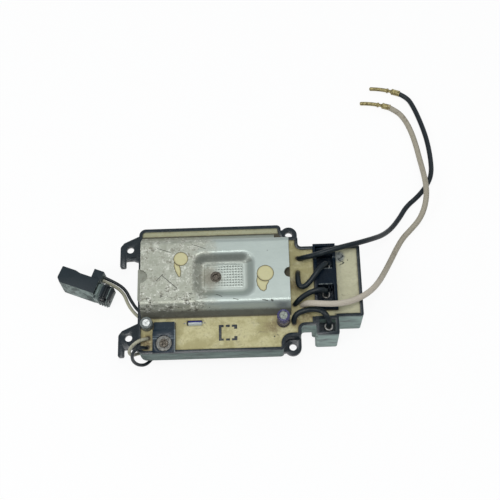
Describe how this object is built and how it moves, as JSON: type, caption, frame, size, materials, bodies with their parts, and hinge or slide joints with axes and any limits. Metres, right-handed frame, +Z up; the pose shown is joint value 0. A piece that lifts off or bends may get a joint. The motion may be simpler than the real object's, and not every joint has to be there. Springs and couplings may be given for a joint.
{
  "type": "potted motor control module",
  "caption": "Resin-filled control module of a garage door opener: black tray with screw ears, stamped heat-sink plate, connector bar, two pin-tipped leads and a plug lead.",
  "frame": {"origin": "middle of the module's footprint (tray with its ears, without the leads and plug), on the surface that it stands on", "axes": "+X from the hooked ears to the connector end, +Y from the capacitors towards the heat-sink plate, +Z up out of the open, resin-filled face"},
  "size_m": [0.2618, 0.2094, 0.0418],
  "materials": {
    "tray_plastic": "black moulded plastic, glossy, dusty on its sides",
    "resin": "cream-yellow potting resin with dirt specks",
    "plate_metal": "stamped sheet, satin, scratched and stained",
    "pad_grey": "matte grey silicone pad",
    "steel": "dull steel",
    "steel_dark": "browned steel",
    "component_black": "moulded component body",
    "can_metal": "bright can top",
    "sleeve_grey": "shrink sleeve",
    "sleeve_violet": "shrink sleeve",
    "diode_glass": "dark blue body",
    "board": "glass-fibre board",
    "copper": "enamelled winding",
    "ferrite": "sintered core",
    "lead_black": "black insulation, satin",
    "lead_white": "off-white insulation, dirty",
    "lead_cream": "cream insulation",
    "brass": "tarnished brass",
    "plug_plastic": "black moulded plug, dusty sides"
  },
  "bodies": {
    "module": {"housing_tray": "tray_plastic", "potting_resin": "resin", "circuit_board": "board", "heat_sink_plate": "plate_metal", "thermal_pad": "pad_grey", "thermal_sheet": "pad_grey", "plate_screw": "steel_dark", "output_transistor": "component_black", "clamp_nuts": "steel", "power_block": "component_black", "power_washer": "steel_dark", "power_screw": "steel_dark", "transistor_legs": "steel", "left_capacitor_can": "can_metal", "left_capacitor_sleeve": "sleeve_grey", "right_capacitor_can": "can_metal", "right_capacitor_sleeve": "sleeve_violet", "diode_body": "diode_glass", "diode_leads": "steel", "coil_former": "component_black", "control_chip": "component_black", "control_chip_legs": "steel", "transformer_core": "ferrite", "transformer_coil": "copper", "relay_case": "component_black", "relay_coil": "copper", "relay_core": "steel", "relay_yoke": "steel", "relay_pivot_pin": "steel", "relay_contacts": "brass", "connector_bar": "tray_plastic", "socket_block": "tray_plastic", "socket_contacts": "steel", "jumper_back": "lead_black", "jumper_middle": "lead_black", "jumper_front": "lead_black", "black_lead": "lead_black", "white_lead": "lead_white", "black_pin_terminal": "brass", "white_pin_terminal": "brass", "signal_lead_cream": "lead_cream", "signal_lead_black": "lead_black", "plug_cover": "plug_plastic", "plug_block": "plug_plastic", "plug_contacts": "brass", "latch_pin": "steel"},
    "latch": {"plug_latch": "plug_plastic"},
    "armature": {"relay_armature": "steel"}
  },
  "joints": [
    {"name": "latch_rock", "type": "hinge", "parent": "module", "child": "latch", "pos_m": [-0.09068, 0.00503, 0.0122], "axis": [-0.3584, -0.9336, 0], "range_deg": [0, 7], "stiffness_Nm_per_rad": 0.08},
    {"name": "armature_swing", "type": "hinge", "parent": "module", "child": "armature", "pos_m": [0.07095, 0.0025, 0.0171], "axis": [-1, 0, 0], "range_deg": [0, 5], "stiffness_Nm_per_rad": 0.01}
  ]
}
